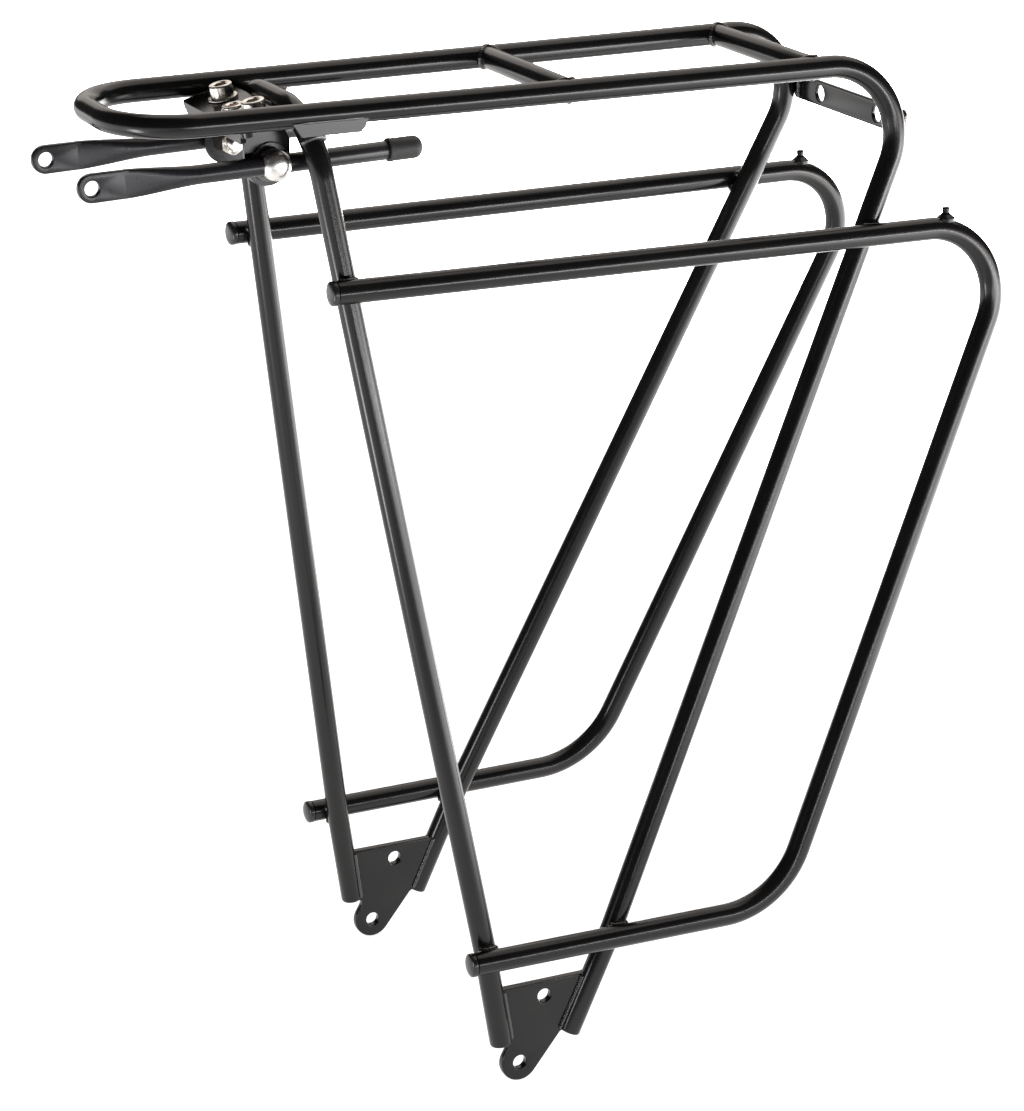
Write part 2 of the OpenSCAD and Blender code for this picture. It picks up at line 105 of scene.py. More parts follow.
GUSSET_OUTWARDS, GUSSET_W, GUSSET_DROP = 1.4, 4, 7.9
WELD_GAP = 0.05


def deck_y(x):
    return DECK_HALF_W + DECK_FLARE * x


def deck_point(x, side):
    return Vector((x, side * deck_y(x), DECK_H))


def between(low, high, z):
    return low + (high - low) * z / DECK_H


def front_leg(z, side):
    return Vector((between(FRONT_FOOT_X, FRONT_TOP_X, z), side * between(FRONT_FOOT_Y, FRONT_TOP_Y, z), z))


def rear_leg(z, side):
    return Vector((between(REAR_FOOT_X, DECK_REAR, z), side * between(REAR_FOOT_Y, deck_y(DECK_REAR), z), z))


def front_toe(side):
    leg = front_leg(FRONT_LEG_END, side)
    return Vector((leg.x, side * TOE_Y, leg.z))


def rear_toe(side):
    leg = rear_leg(REAR_LEG_END, side)
    return Vector((leg.x, side * TOE_Y, leg.z))


def rail_point(x, z, side, inwards):
    """A point near the plane of a pannier rail, which is just outboard of the legs."""
    low, top, far = front_leg(RAIL_LOW, RIGHT), front_leg(RAIL_TOP, RIGHT), rear_leg(RAIL_TOP, RIGHT)
    flare = (far.y - top.y) / (far.x - top.x)
    lean = (top.y - low.y - flare * (top.x - low.x)) / (RAIL_TOP - RAIL_LOW)
    y = low.y + RAIL_OFFSET + flare * (x - low.x) + lean * (z - RAIL_LOW)
    return Vector((x, side * (y - inwards), z))


def loop_points(side):
    return [
        rail_point(RAIL_TOP_FRONT, RAIL_TOP, side, RAIL_TOP_IN),
        rail_point(RAIL_TOP_CORNER, RAIL_TOP - RAIL_TOP_DROP, side, RAIL_TOP_IN),
        rail_point(RAIL_LOW_CORNER, RAIL_LOW, side, RAIL_CORNER_IN),
        rail_point(RAIL_LOW_FRONT, RAIL_LOW, side, RAIL_FRONT_IN)]


# ---------------------------------------------------------------- materials


def node_material(name):
    """A new material and a function that adds a node to it, with its inputs and properties."""
    mat = bpy.data.materials.new(name)
    mat.use_nodes = True
    tree = mat.node_tree
    tree.nodes.clear()

    def add(kind, inputs=(), **settings):
        made = tree.nodes.new(kind)
        for key, value in settings.items():
            setattr(made, key, value)
        for key, value in dict(inputs).items():
            if isinstance(value, bpy.types.NodeSocket):
                tree.links.new(value, made.inputs[key])
            else:
                made.inputs[key].default_value = value
        return made

    return mat, add


def spread(add, value, low, high):
    """Maps a texture's 0 to 1 onto low to high."""
    return add("ShaderNodeMapRange", {0: value, 3: low, 4: high}).outputs[0]


def blended(add, value, dark, light):
    """Maps a texture's 0.3 to 0.7 onto two colours."""
    ramp = add("ShaderNodeValToRGB", {0: value})
    for stop, position, colour in zip(ramp.color_ramp.elements, (0.3, 0.7), (dark, light)):
        stop.position = position
        stop.color = (*colour, 1)
    return ramp.outputs[0]


def noise_texture(add, place, scale, detail=2):
    """Soft noise with about the given number of features to a metre."""
    return add("ShaderNodeTexNoise", {"Vector": place, "Scale": scale, "Detail": detail}).outputs[0]


# Colour patches to a metre, and the broad grain's scale as a share of the fine grain's.
DRIFT_SCALE = 35
BROAD_SHARE = 0.3
BUMP_STRENGTH = 0.5


def textured_material(name, dark, light, rough, grain, bump, metallic=0.0, gloss=0.5, stretch=(1, 1, 1)):
    """Solid finish: slow colour drift, a fine grain of the given size in mm, and a bump height in mm."""
    mat, add = node_material(name)
    place = add("ShaderNodeTexCoord").outputs["Object"]
    squeezed = add("ShaderNodeMapping", {0: place, 3: stretch}).outputs[0]
    drift = noise_texture(add, place, DRIFT_SCALE, 3)
    fine = noise_texture(add, squeezed, 1 / (grain * MM))
    broad = noise_texture(add, squeezed, BROAD_SHARE / (grain * MM))
    relief = add("ShaderNodeMath", {0: fine, 1: broad}, operation="ADD").outputs[0]
    bump_inputs = {"Strength": BUMP_STRENGTH, "Distance": bump * MM, "Height": relief}
    shader = add("ShaderNodeBsdfPrincipled", {
        "Base Color": blended(add, drift, dark, light),
        "Roughness": spread(add, broad, *rough),
        "Metallic": metallic,
        "Specular IOR Level": gloss,
        "Normal": add("ShaderNodeBump", bump_inputs).outputs[0],
    })
    add("ShaderNodeOutputMaterial", {0: shader.outputs[0]})
    return mat


LOOKS = {
    "black_powder_coat": {
        "dark": (0.0030, 0.0028, 0.0028), "light": (0.0060, 0.0056, 0.0054),
        "rough": (0.17, 0.25), "grain": 0.7, "bump": 0.006, "gloss": 0.38},
    "weld_bead": {
        "dark": (0.006, 0.0055, 0.005), "light": (0.016, 0.014, 0.012),
        "rough": (0.10, 0.30), "grain": 0.45, "bump": 0.14, "gloss": 0.9},
    "black_stay": {
        "dark": (0.007, 0.0065, 0.008), "light": (0.013, 0.012, 0.014),
        "rough": (0.24, 0.34), "grain": 0.6, "bump": 0.008, "gloss": 0.35},
    "stainless_steel": {
        "dark": (0.56, 0.53, 0.48), "light": (0.76, 0.73, 0.68),
        "rough": (0.14, 0.30), "grain": 0.25, "bump": 0.012, "metallic": 1.0, "stretch": (1, 1, 6)},
    "polished_steel": {
        "dark": (0.62, 0.60, 0.57), "light": (0.76, 0.74, 0.71),
        "rough": (0.22, 0.36), "grain": 0.3, "bump": 0.006, "metallic": 1.0, "stretch": (1, 5, 1)},
    # Reddish-brown steel for the centre screw's socket floor: its colour is a painted reflection.
    "painted_reflection_steel": {
        "dark": (0.22, 0.11, 0.09), "light": (0.42, 0.25, 0.21),
        "rough": (0.40, 0.62), "grain": 0.3, "bump": 0.04, "metallic": 0.8},
    "black_rubber": {
        "dark": (0.010, 0.0095, 0.009), "light": (0.020, 0.019, 0.018),
        "rough": (0.50, 0.68), "grain": 0.4, "bump": 0.06},
    "black_plastic": {
        "dark": (0.006, 0.006, 0.006), "light": (0.014, 0.014, 0.014),
        "rough": (0.20, 0.34), "grain": 0.5, "bump": 0.03},
}
FINISH = {name: textured_material(name, **look) for name, look in LOOKS.items()}

# ---------------------------------------------------------------- mesh building


def add_piece(name, mesh, slot, body="frame", smooth_angle=40):
    """Turns a mesh in millimetres into a piece that rides a body and has one of the finishes."""
    mesh.transform(Matrix.Scale(MM, 4))
    mesh.materials.append(FINISH[slot])
    made = bpy.data.objects.new(name, mesh)
    bpy.context.scene.collection.objects.link(made)
    mesh.polygons.foreach_set("use_smooth", [True] * len(mesh.polygons))
    mesh.set_sharp_from_angle(angle=math.radians(smooth_angle))
    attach(made, body)
    return made


def swap(piece, node):
    """Hides the CAD node that the piece is shown in place of."""
    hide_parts(node)


def to_mesh(name, bm):
    bmesh.ops.recalc_face_normals(bm, faces=bm.faces)
    mesh = bpy.data.meshes.new(name)
    bm.to_mesh(mesh)
    bm.free()
    return mesh


def loft_into(bm, rings, capped=(True, True)):
    """Skins closed rings that all have the same number of points."""
    made = [[bm.verts.new(p) for p in ring] for ring in rings]
    count = len(made[0])
    for a, b in zip(made, made[1:]):
        for i in range(count):
            j = (i + 1) % count
            bm.faces.new((a[i], a[j], b[j], b[i]))
    if capped[0]:
        bm.faces.new(made[0])
    if capped[1]:
        bm.faces.new(made[-1])
    return made


def loop_into(bm, rings):
    """Skins rings that run round to the first one again."""
    made = loft_into(bm, rings + rings[:1], (False, False))
    bmesh.ops.weld_verts(bm, targetmap=dict(zip(made[-1], made[0])))


def loft(name, rings):
    bm = bmesh.new()
    loft_into(bm, rings)
    return to_mesh(name, bm)


def circle(r, n=48):
    return [(r * math.cos(2 * math.pi * i / n), r * math.sin(2 * math.pi * i / n)) for i in range(n)]


def raised(ring, z):
    return [Vector((x, y, z)) for x, y in ring]


AXIS_R = 0.02


def lathe_rings(profile, n=48):
    """Rings about Z from (radius, height) pairs. A point on the axis becomes a ring of AXIS_R."""
    return [raised(circle(max(r, AXIS_R), n), z) for r, z in profile]


def lathe(name, profile, n=48):
    """Closed solid of revolution about Z from (radius, height) pairs."""
    return loft(name, lathe_rings(profile, n))


def lathe_loop(name, profile, n=48):
    """Ring of revolution about Z whose section is the closed profile."""
    bm = bmesh.new()
    loop_into(bm, lathe_rings(profile, n))
    return to_mesh(name, bm)


def rounding(r, z, edge, steps=4):
    """Profile points of a rounded corner at radius r, from its side up to the height z."""
    points = []
    for i in range(steps + 1):
        a = math.pi / 2 * i / steps
        points.append((r - edge + edge * math.cos(a), z - edge + edge * math.sin(a)))
    return points


def moved(mesh, matrix):
    mesh.transform(matrix)
    return mesh


def moved_rings(rings, matrix):
    return [[matrix @ p for p in ring] for ring in rings]


def bent_path(points, radii, step=3.0):
    """Centreline through the points with an arc of the given radius at each inner one."""
    path = [points[0]]
    for before, at, after, radius in zip(points, points[1:], points[2:], radii):
        into, out = (at - before).normalized(), (after - at).normalized()
        angle = into.angle(out)
        start = at - into * radius * math.tan(angle / 2)
        inward = (out - into * into.dot(out)).normalized()
        count = max(4, round(math.degrees(angle) / step))
        for i in range(count + 1):
            a = angle * i / count
            path.append(start + into * radius * math.sin(a) + inward * radius * (1 - math.cos(a)))
    path.append(points[-1])
    return path


def frames_along(path):
    """Point, sideways, upward and forward vectors along a path, without twist."""
    ahead = [(b - a).normalized() for a, b in zip(path, path[1:])]
    along = [ahead[0]] + [(a + b).normalized() for a, b in zip(ahead, ahead[1:])] + [ahead[-1]]
    side = along[0].orthogonal().normalized()
    frames = []
    for point, forward in zip(path, along):
        side = (side - forward * side.dot(forward)).normalized()
        frames.append((point, side, forward.cross(side), forward))
    return frames


def swept_rings(path, radii, n=40):
    """Round rings along a path; radii has one radius for each point."""
    return [
        [point + (side * x + up * y) for x, y in circle(r, n)]
        for (point, side, up, _), r in zip(frames_along(path), radii)
    ]


def rounded_end(path, r, edge, steps=5):
    """Extra points and radii that close a tube's start with a rounded edge."""
    tip_r, hair = 0.3, 0.001
    forward = (path[1] - path[0]).normalized()
    points, radii = [path[0]], [tip_r]
    for i in range(steps + 1):
        a = math.pi / 2 * i / steps
        points.append(path[0] + forward * edge * (1 - math.cos(a)) + forward * hair * (i + 1))
        radii.append(r - edge + edge * math.sin(a))
    return points, radii


def tube_mesh(name, path, r, edges=(1.2, 1.2)):
    """A tube along a path whose two ends are closed with rounded edges."""
    first, first_r = rounded_end(path, r, edges[0])
    last, last_r = rounded_end(path[::-1], r, edges[1])
    whole = first + path[1:-1] + last[::-1]
    radii = first_r + [r] * (len(path) - 2) + last_r[::-1]
    return loft(name, swept_rings(whole, radii))


def rounded_outline(corners, step=12):
    """Closed outline from (x, y, radius) corners, with an arc at each corner that has a radius."""
    outline = []
    count = len(corners)
    for i, (x, y, radius) in enumerate(corners):
        at = Vector((x, y))
        into = (at - Vector(corners[i - 1][:2])).normalized()
        out = (Vector(corners[(i + 1) % count][:2]) - at).normalized()
        turn = into.angle_signed(out)
        if radius == 0:
            outline.append(at)
            continue
        reach = radius * math.tan(abs(turn) / 2)
        steps = max(2, round(abs(math.degrees(turn)) / step))
        start = at - into * reach
        inward = (out - into * into.dot(out)).normalized()
        for k in range(steps + 1):
            a = abs(turn) * k / steps
            outline.append(start + into * radius * math.sin(a) + inward * radius * (1 - math.cos(a)))
    return outline


def hole(x, y, r, n=32):
    return [Vector((x + a, y + b)) for a, b in circle(r, n)]


def winding(outline):
    return sum(a.x * b.y - b.x * a.y for a, b in zip(outline, outline[1:] + outline[:1]))


def inset(outline, distance):
    """Moves an outline to its left-hand side, the material's side, by a distance."""
    least_cosine = 0.4
    moved_points = []
    count = len(outline)
    for i in range(count):
        into = (outline[i] - outline[i - 1]).normalized()
        out = (outline[(i + 1) % count] - outline[i]).normalized()
        normal = Vector((-into.y - out.y, into.x + out.x)).normalized()
        stretch = 1 / max(least_cosine, normal.dot(Vector((-out.y, out.x))))
        moved_points.append(outline[i] + normal * distance * stretch)
    return moved_points


def plate_bmesh(outlines, thickness, edge, steps=3):
    """Plate in the XY plane from z 0 up: the first outline is its outside, the rest are holes.
    Every edge is rounded by the edge radius."""
    bm = bmesh.new()
    profile = []
    for i in range(steps + 1):
        a = math.pi / 2 * i / steps
        profile.append((edge * (1 - math.sin(a)), edge * (1 - math.cos(a))))
    profile += [(inward, thickness - z) for inward, z in profile[::-1]]
    bottoms, tops = [], []
    for index, outline in enumerate(outlines):
        clockwise = winding(outline) < 0
        if clockwise == (index == 0):
            outline = outline[::-1]
        rings = [[Vector((p.x, p.y, z)) for p in inset(outline, inward)] for inward, z in profile]
        made = loft_into(bm, rings, capped=(False, False))
        bottoms.append(made[0])
        tops.append(made[-1])
    for loops in (bottoms, tops):
        edges = []
        for ring in loops:
            edges += [bm.edges.get((a, b)) for a, b in zip(ring, ring[1:] + ring[:1])]
        bmesh.ops.triangle_fill(bm, edges=edges, use_beauty=True)
    return bm


def placed(bm, matrix):
    bmesh.ops.transform(bm, matrix=matrix, verts=bm.verts)
    return bm


def axes(x, y, z, origin):
    """Matrix that takes local axes to the given ones."""
    m = Matrix.Identity(4)
    for column, axis in enumerate((x, y, z, origin)):
        for row in range(3):
            m[row][column] = axis[row]
    return m


# Weld beads: the spacing of their sections and the points in each, then the length of a puddle with its
# lowest share of the radius and its rise, then how far the radius wanders and how often.
BEAD_STEP, BEAD_SIDES = 0.3, 14
PUDDLE_L, PUDDLE_LOW, PUDDLE_RISE = 1.1, 0.9, 0.16
UNEVEN, UNEVEN_RATE = 0.16, 0.5


def bead_mesh(name, path, r, seed):
    """Weld bead along a path: a string of overlapping puddles with uneven edges."""
    shift = random.Random(seed).uniform(0, 100)
    dense = []
    for a, b in zip(path, path[1:]):
        steps = max(1, round((b - a).length / BEAD_STEP))
        dense += [a.lerp(b, i / steps) for i in range(steps)]
    dense.append(path[-1])
    run = 0.0
    radii = []
    for i, point in enumerate(dense):
        run += (point - dense[i - 1]).length if i else 0
        puddle = PUDDLE_LOW + PUDDLE_RISE * abs(math.sin(math.pi * run / PUDDLE_L))
        uneven = 1 + UNEVEN * noise.noise(Vector((run * UNEVEN_RATE, shift, 0)))
        from_end = min(i, len(dense) - 1 - i) * BEAD_STEP
        taper = min(1, math.sqrt(from_end / r + 0.02))
        radii.append(r * puddle * uneven * taper)
    return loft(name, swept_rings(dense, radii, BEAD_SIDES))


# ---------------------------------------------------------------- frame tubes


def add_main_tube():
    path = bent_path([
        rear_toe(LEFT),
        rear_leg(TOE_H, LEFT),
        deck_point(DECK_REAR, LEFT),
        deck_point(DECK_FRONT, LEFT),
        deck_point(DECK_FRONT, RIGHT),
        deck_point(DECK_REAR, RIGHT),
        rear_leg(TOE_H, RIGHT),
        rear_toe(RIGHT)], [TOE_BEND_R, *[BEND_R] * 4, TOE_BEND_R])
    piece = add_piece("main_tube_swept", tube_mesh("main_tube", path, TUBE_R), "black_powder_coat")
    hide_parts("main_tube")


HOOP_POINTS = [
    front_toe(LEFT),
    front_leg(TOE_H, LEFT),
    front_leg(DECK_H, LEFT),
    front_leg(DECK_H, RIGHT),
    front_leg(TOE_H, RIGHT),
    front_toe(RIGHT)]
HOOP_RADII = [TOE_BEND_R, BEND_R, BEND_R, TOE_BEND_R]


def add_front_hoop():
    path = bent_path(HOOP_POINTS, HOOP_RADII)
    piece = add_piece("front_hoop_swept", tube_mesh("front_hoop", path, TUBE_R), "black_powder_coat")
    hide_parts("front_hoop")


def add_pannier_rail(side):
    path = bent_path(loop_points(side), [BEND_R, LOW_BEND_R])
    name = SIDE_NAME[side] + "_pannier_rail"
    piece = add_piece(name + "_swept", tube_mesh(name, path, TUBE_R, (0.3, 0.3)), "black_powder_coat")
    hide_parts(name)


# ---------------------------------------------------------------- crossbars, plugs and pegs

BAR_INSET = 1.5


def add_crossbar(name, x):
    """Crossbar whose ends are hidden inside the platform rails."""
    half = deck_y(x) - BAR_INSET
    path = [Vector((x, y, DECK_H)) for y in (-half, 0, half)]
    swap(add_piece(name + "_swept", tube_mesh(name, path, TUBE_R), "black_powder_coat"), name)


def plug_matrix(a, b):
    d = (b - a).normalized()
    level = Vector((0, 0, 1)).cross(d).normalized()
    return axes(level, d.cross(level), d, a)


def add_end_plugs():
    """Domed plugs with a thin groove between the flange and the tube's end."""
    flange_r, groove_r, stem_r = TUBE_R + 0.2, TUBE_R - 0.5, TUBE_R - 1.05
    flange_h, dome_h, stem_l, dome_steps = 2, 1.5, 9, 8
    profile = []
    for i in range(dome_steps, -1, -1):
        a = math.pi / 2 * i / dome_steps
        profile.append((flange_r * math.cos(a), -flange_h - dome_h * math.sin(a)))
    profile += [(flange_r, -0.45), (flange_r - 0.25, -0.2), (groove_r, -0.15), (groove_r, 0.3)]
    profile += [(stem_r, 0.35), (stem_r, stem_l), (0, stem_l)]
    bm = bmesh.new()
    for side in (LEFT, RIGHT):
        top_front, top_corner, low_corner, low_front = loop_points(side)
        for end, inner in ((top_front, top_corner), (low_front, low_corner)):
            loft_into(bm, moved_rings(lathe_rings(profile), plug_matrix(end, inner)))
    swap(add_piece("rail_end_plugs_domed", to_mesh("rail_end_plugs", bm), "black_plastic"), "rail_end_plugs")


def on_top_rail(x, side):
    a, b = loop_points(side)[:2]
    return a + (b - a) * (x - a.x) / (b.x - a.x)


def add_peg(side):
    """Stop peg: weld foot that flows onto the tube, waist and rounded head."""
    top, foot_r, waist_r, head_r = 9.2, 4.0, 1.5, 1.7
    foot = [(0, 3), (foot_r, 3), (foot_r, top - 4.8), (3.4, top - 4.2), (2.4, top - 3.4), (1.7, top - 2.7)]
    waist = [(waist_r, top - 2.3), (waist_r, top - 2.0)]
    head = [(head_r, top - 1.7), (head_r, top - 0.5), (1.55, top - 0.2), (1.2, top), (0, top)]
    name = SIDE_NAME[side] + "_pannier_peg"
    mesh = moved(lathe(name, foot + waist + head, 32), Matrix.Translation(on_top_rail(PEG_X, side)))
    swap(add_piece(name + "_turned", mesh, "black_powder_coat"), name)


# ---------------------------------------------------------------- plates

FOOT_CORNER_Z = 12
FOOT_EDGE_R, LIGHT_EDGE_R, LIGHT_CORNER_R = 0.7, 0.5, 2.5


def foot_outline():
    """Outline in XZ: a round lobe about the lower hole, then sides that run up inside the legs."""
    reach, side_inset, blend_r = FOOT_LOBE_R - 0.2, 1.5, 2.5
    lobe_start, lobe_end, lobe_steps = 148, 322, 24
    lobe = []
    for step in range(lobe_steps + 1):
        a = math.radians(lobe_start + (lobe_end - lobe_start) * step / lobe_steps)
        lobe.append((reach * math.cos(a), reach * math.sin(a), 0))
    corners = lobe + [
        (20, 11, blend_r),
        (rear_leg(FOOT_CORNER_Z, RIGHT).x - side_inset, FOOT_CORNER_Z, 0),
        (rear_leg(FOOT_TOP, RIGHT).x - side_inset, FOOT_TOP, 0),
        (front_leg(FOOT_TOP, RIGHT).x + side_inset, FOOT_TOP, 0),
        (front_leg(FOOT_CORNER_Z, RIGHT).x + side_inset, FOOT_CORNER_Z, 0),
        (-4.6, 9.8, blend_r)]
    return rounded_outline(corners)


def add_foot_plate(side):
    """Plate between the legs; its outline is drawn in XZ and stood up facing outwards."""
    holes = [hole(0, 0, FOOT_HOLE_R), hole(*UPPER_HOLE, FOOT_HOLE_R)]
    bm = plate_bmesh([foot_outline(), *holes], FOOT_T, FOOT_EDGE_R)
    lower_y = -FOOT_Y if side == LEFT else FOOT_Y - FOOT_T
    stand = axes((1, 0, 0), (0, 0, 1), (0, 1, 0), (0, lower_y, 0))
    name = SIDE_NAME[side] + "_foot_plate"
    swap(add_piece(name + "_rounded", to_mesh(name, placed(bm, stand)), "black_powder_coat"), name)


def light_x():
    """Front face of the light plate, just behind the rear bends."""
    rail = (deck_point(DECK_REAR, RIGHT) - deck_point(0, RIGHT)).normalized()
    leg = (rear_leg(0, RIGHT) - deck_point(DECK_REAR, RIGHT)).normalized()
    return DECK_REAR - BEND_R * math.tan(rail.angle(leg) / 2) + BEND_R + TUBE_R + WELD_GAP


def add_light_plate():
    w, h, r = LIGHT_W / 2, LIGHT_H / 2, LIGHT_CORNER_R
    outline = rounded_outline([(-w, -h, r), (w, -h, r), (w, h, r), (-w, h, r)])
    lamps = [hole(k * LAMP_SPACING / 2, 0, LAMP_HOLE_R) for k in (LEFT, RIGHT)]
    bm = plate_bmesh([outline, *lamps], LIGHT_T, LIGHT_EDGE_R)
    stand = axes((0, 1, 0), (0, 0, 1), (1, 0, 0), (light_x(), 0, LIGHT_Z))
    mesh = to_mesh("light_plate", placed(bm, stand))
    swap(add_piece("light_plate_rounded", mesh, "black_powder_coat"), "light_plate")


# ---------------------------------------------------------------- front mounting


def mount_matrix():
    return Matrix.Translation((MOUNT_X, 0, MOUNT_Z)) @ Matrix.Rotation(math.radians(-MOUNT_TILT), 4, "Y")


def hexagon(across, n):
    """Ring of n points on a hexagon, in step with a circle's points."""
    ring = []
    for i in range(n):
        a = 2 * math.pi * i / n
        r = across / 2 / math.cos((a + math.pi / 6) % (math.pi / 3) - math.pi / 6)
        ring.append((r * math.cos(a), r * math.sin(a)))
    return ring


def thread_radii(crest_r, depth, count):
    """Radii that rise and fall once in every four steps along a thread."""
    return [crest_r - depth / 2 * (1 - math.cos(math.pi * i / 2)) for i in range(count)]


def socket_screw_rings(thread_r, length, head_r, head_h, key, n=72):
    """Rings from the thread's tip up over the head and down into its hexagonal socket."""
    depth, pitch, tip_h = 0.24, 1.0, 0.3
    rings = [raised(circle(thread_r * 0.8, n), -length)]
    count = round(length * 4 / pitch)
    for i, r in enumerate(thread_radii(thread_r - 0.02, depth, count)):
        rings.append(raised(circle(r, n), -length + tip_h + i * (length - tip_h - 0.05) / count))
    head = [(thread_r, 0), (head_r - 0.3, 0), (head_r, 0.3)] + rounding(head_r, head_h, 0.7)
    rings += [raised(circle(r, n), z) for r, z in head]
    key_corner_r = key / math.sqrt(3)
    rings.append(raised(circle(key_corner_r + 0.5, n), head_h))
    rings.append(raised(circle(key_corner_r + 0.25, n), head_h - 0.15))
    rings.append(raised(hexagon(key, n), head_h - 0.35))
    rings.append(raised(hexagon(key, n), head_h * 0.45))
    rings.append(raised(circle(0.2, n), head_h * 0.38))
    return rings


def add_bracket_screws():
    """Two socket head screws, each on a washer and each with its socket turned another way."""
    grip = WASHER_T + MOUNT_T + BRACKET_T
    rings = socket_screw_rings(thread_r=3, length=grip + 3, head_r=5, head_h=5.4, key=5)
    bore_r, top = 3.3, WASHER_T
    washer = [(bore_r, 0), (6.3, 0), (6.5, 0.25), (6.5, top - 0.4), (6.2, top), (bore_r, top)]
    screws, washers = bmesh.new(), bmesh.new()
    for side, spin in ((LEFT, 0.3), (RIGHT, 1.1)):
        seat = mount_matrix() @ Matrix.Translation((0, side * SCREW_Y, 0)) @ Matrix.Rotation(spin, 4, "Z")
        loft_into(screws, moved_rings(rings, seat @ Matrix.Translation((0, 0, top))))
        loop_into(washers, moved_rings(lathe_rings(washer, 72), seat))
    mesh = to_mesh("bracket_screws", screws)
    swap(add_piece("bracket_screws_socketed", mesh, "stainless_steel"), "bracket_screws")
    mesh = to_mesh("bracket_washers", washers)
    swap(add_piece("bracket_washers_rounded", mesh, "stainless_steel"), "bracket_washers")


def add_centre_screw():
    """Low socket head screw on a thin washer, with a painted reddish-brown reflection on the floor of its
    socket.
    """
    seat = mount_matrix() @ Matrix.Translation((CENTRE_X, 0, 0))
    bore_r, top = 2.7, CENTRE_WASHER_T
    ring = [(bore_r, 0), (5.1, 0), (5.2, 0.15), (5.2, 0.55), (4.9, top), (bore_r, top)]
    mesh = moved(lathe_loop("centre_washer", ring, 64), seat)
    swap(add_piece("centre_washer_rounded", mesh, "stainless_steel"), "centre_washer")
    lifted = seat @ Matrix.Translation((0, 0, top))
    rings = socket_screw_rings(thread_r=2.5, length=MOUNT_T + 6, head_r=4.7, head_h=1.4, key=3.6)
    bm = bmesh.new()
    loft_into(bm, moved_rings(rings, lifted))
    swap(add_piece("centre_screw_socketed", to_mesh("centre_screw", bm), "stainless_steel"), "centre_screw")
    # Disc on the socket floor whose reddish-brown colour is a painted reflection.
    painted_reflection_profile = [(1.75, 0.60), (1.75, 0.80), (1.2, 0.86), (0, 0.88)]
    mesh = moved(lathe("centre_screw_socket", painted_reflection_profile, 32), lifted)
    add_piece("centre_screw_socket_floor", mesh, "painted_reflection_steel")


def pivot_matrix(side):
    """Local Z points outwards from the bracket along the pivot."""
    outwards = Vector((0, side, 0))
    along = Vector((math.cos(math.radians(STAY_TILT)), 0, math.sin(math.radians(STAY_TILT))))
    return axes(along, outwards.cross(along), outwards, (PIVOT_X, side * BRACKET_Y, PIVOT_Z))


def add_eyebolt(side):
    """Polished head with a full dome, on a threaded shank."""
    head_r, head_l = 6.5, STAY_Y - BRACKET_Y + 7
    dome_h, fullness, dome_steps = 5.2, 0.8, 10
    crest_r, thread_depth, thread_step = 2.97, 0.22, 0.25
    profile = [(2.4, -12), (crest_r, -11.5)]
    for i, r in enumerate(thread_radii(crest_r, thread_depth, 36)):
        profile.append((r, -11.4 + i * thread_step))
    profile += [(3, -2.2), (3, 1), (5.4, 1), (5.9, 1.4), (head_r - 0.2, 3.2), (head_r, 4.2)]
    for i in range(dome_steps + 1):
        a = math.pi / 2 * i / dome_steps
        profile.append((head_r * math.cos(a) ** fullness, head_l - dome_h + dome_h * math.sin(a)))
    name, body = SIDE_NAME[side] + "_eyebolt", SIDE_NAME[side] + "_pivot"
    mesh = moved(lathe(body, profile, 64), pivot_matrix(side))
    swap(add_piece(name + "_domed", mesh, "polished_steel", body), name)


def add_pivot_washer(side):
    """Black washer between the bracket and the eyebolt, a hair clear of the bracket."""
    bore_r, rim_r, outer_r, low, high = 3.1, 8.2, 8.5, 0.03, 0.97
    ring = [(bore_r, low), (rim_r, low), (outer_r, 0.2), (outer_r, 0.7), (rim_r, high), (bore_r, high)]
    name, body = SIDE_NAME[side] + "_pivot_washer", SIDE_NAME[side] + "_pivot"
    mesh = moved(lathe_loop(name, ring, 64), pivot_matrix(side))
    swap(add_piece(name + "_rounded", mesh, "black_plastic", body), name)


def add_pivot_nut(side):
    """Hexagonal nut with its corners turned down at both ends."""
    across, height, bore_r, face_r, turned_r, n = 10, 5, 3.05, 4.75, 5.35, 72
    high = -BRACKET_T
    low = high - height
    edge = hexagon(across, n)
    turned = []
    for x, y in edge:
        share = min(1, turned_r / math.hypot(x, y))
        turned.append((x * share, y * share))
    rings = [raised(circle(r, n), z) for r, z in ((bore_r, low + 0.4), (3.5, low), (face_r, low))]
    rings += [raised(turned, low + 0.25), raised(edge, low + 0.9), raised(edge, high - 0.9)]
    rings += [raised(circle(5.1, n), high), raised(circle(bore_r, n), high)]
    name, body = SIDE_NAME[side] + "_pivot_nut", SIDE_NAME[side] + "_pivot"
    bm = bmesh.new()
    loop_into(bm, moved_rings(rings, pivot_matrix(side)))
    swap(add_piece(name + "_chamfered", to_mesh(name, bm), "stainless_steel", body), name)


# ---------------------------------------------------------------- stays


def stay_matrix(side):
    tilt = Matrix.Rotation(math.radians(-STAY_TILT), 4, "Y")
    return Matrix.Translation((PIVOT_X, side * STAY_Y, PIVOT_Z)) @ tilt


def stay_section(flatness, n=48):
    """Section across the stay, from a circle at flatness 0 to a rounded bar at 1."""
    squareness = 0.74
    half_t = STAY_R + (FLAT_T / 2 - STAY_R) * flatness
    half_h = STAY_R + (FLAT_H / 2 - STAY_R) * flatness
    power = 1 - squareness * flatness
    section = []
    for i in range(n):
        a = 2 * math.pi * i / n
        c, v = math.cos(a), math.sin(a)
        sideways = half_t * math.copysign(abs(c) ** power, c)
        upwards = half_h * math.copysign(abs(v) ** power, v)
        section.append((sideways, upwards))
    return section


